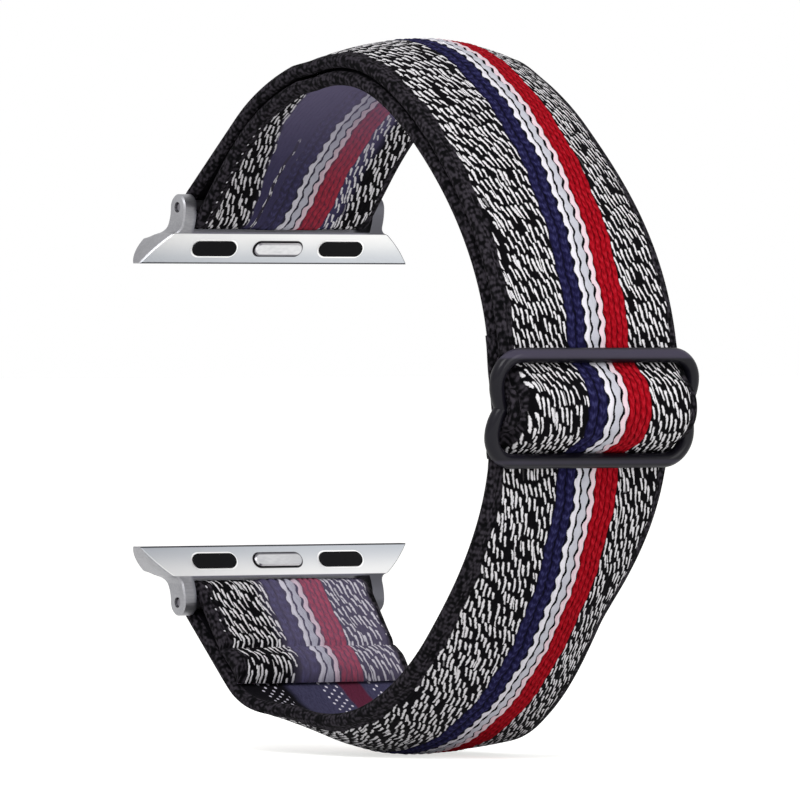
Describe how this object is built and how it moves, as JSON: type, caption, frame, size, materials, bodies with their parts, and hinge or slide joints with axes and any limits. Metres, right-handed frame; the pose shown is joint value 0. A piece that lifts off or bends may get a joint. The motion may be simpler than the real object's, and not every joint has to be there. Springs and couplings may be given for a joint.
{
  "type": "adjustable watch strap",
  "caption": "Striped woven elastic watch strap in worn shape, with a three-bar slider and a pivoting metal connector for the watch at each end.",
  "frame": {"origin": "on the arm's axis, midway between the two connectors in height and midway across the tape", "axes": "+X from the watch to the slider, +Y along the arm from the near edge to the far edge, +Z towards the upper connector"},
  "size_m": [0.0605, 0.0308, 0.0678],
  "materials": {
    "tape": "woven elastic, striped",
    "slider_metal": "satin dark blue-black",
    "connector_metal": "satin silver",
    "pad": "matt black",
    "button_metal": "satin silver",
    "bar_steel": "turned",
    "spring_steel": "drawn wire"
  },
  "bodies": {
    "strap": {"strap_lower_run": "tape", "strap_lower_stretch": "tape", "strap_outer_stretch": "tape", "strap_upper_run": "tape", "strap_inner_stretch": "tape", "upper_bar_barrel": "bar_steel", "upper_bar_spring": "spring_steel", "lower_bar_barrel": "bar_steel", "lower_bar_spring": "spring_steel"},
    "slider": {"slider": "slider_metal", "strap_slider_bight": "tape", "strap_sewn_end": "tape"},
    "upper_connector": {"upper_connector_body": "connector_metal", "upper_pad_near": "pad", "upper_pad_far": "pad", "upper_lock_spring": "spring_steel"},
    "upper_lock": {"upper_lock_button": "button_metal"},
    "upper_tip_near": {"upper_bar_tip_near": "bar_steel"},
    "upper_tip_far": {"upper_bar_tip_far": "bar_steel"},
    "lower_connector": {"lower_connector_body": "connector_metal", "lower_pad_near": "pad", "lower_pad_far": "pad", "lower_lock_spring": "spring_steel"},
    "lower_lock": {"lower_lock_button": "button_metal"},
    "lower_tip_near": {"lower_bar_tip_near": "bar_steel"},
    "lower_tip_far": {"lower_bar_tip_far": "bar_steel"}
  },
  "joints": [
    {"name": "slider_adjust", "type": "hinge", "parent": "strap", "child": "slider", "pos_m": [-0.0071, 0, 0], "axis": [0, 1, 0], "range_deg": [-12.79, 12.79], "deforming": ["strap_lower_stretch", "strap_outer_stretch", "strap_inner_stretch"]},
    {"name": "upper_connector_pivot", "type": "hinge", "parent": "strap", "child": "upper_connector", "pos_m": [-0.024, 0, 0.019], "axis": [0, 1, 0], "range_deg": [-40, 60]},
    {"name": "upper_lock_press", "type": "slide", "parent": "upper_connector", "child": "upper_lock", "axis": [-0.9125, 0, 0.4091], "range_m": [0, 0.0006], "stiffness_N_per_m": 400, "springref_m": -0.0006, "deforming": ["upper_lock_spring"]},
    {"name": "upper_tip_near_press", "type": "slide", "parent": "strap", "child": "upper_tip_near", "axis": [0, 1, 0], "range_m": [0, 0.0013], "stiffness_N_per_m": 500, "springref_m": -0.001, "deforming": ["upper_bar_spring"]},
    {"name": "upper_tip_far_press", "type": "slide", "parent": "strap", "child": "upper_tip_far", "axis": [0, -1, 0], "range_m": [0, 0.0013], "stiffness_N_per_m": 500, "springref_m": -0.001, "deforming": ["upper_bar_spring"]},
    {"name": "lower_connector_pivot", "type": "hinge", "parent": "strap", "child": "lower_connector", "pos_m": [-0.024, 0, -0.019], "axis": [0, 1, 0], "range_deg": [-60, 40]},
    {"name": "lower_lock_press", "type": "slide", "parent": "lower_connector", "child": "lower_lock", "axis": [-0.9125, 0, -0.4091], "range_m": [0, 0.0006], "stiffness_N_per_m": 400, "springref_m": -0.0006, "deforming": ["lower_lock_spring"]},
    {"name": "lower_tip_near_press", "type": "slide", "parent": "strap", "child": "lower_tip_near", "axis": [0, 1, 0], "range_m": [0, 0.0013], "stiffness_N_per_m": 500, "springref_m": -0.001, "deforming": ["lower_bar_spring"]},
    {"name": "lower_tip_far_press", "type": "slide", "parent": "strap", "child": "lower_tip_far", "axis": [0, -1, 0], "range_m": [0, 0.0013], "stiffness_N_per_m": 500, "springref_m": -0.001, "deforming": ["lower_bar_spring"]}
  ]
}
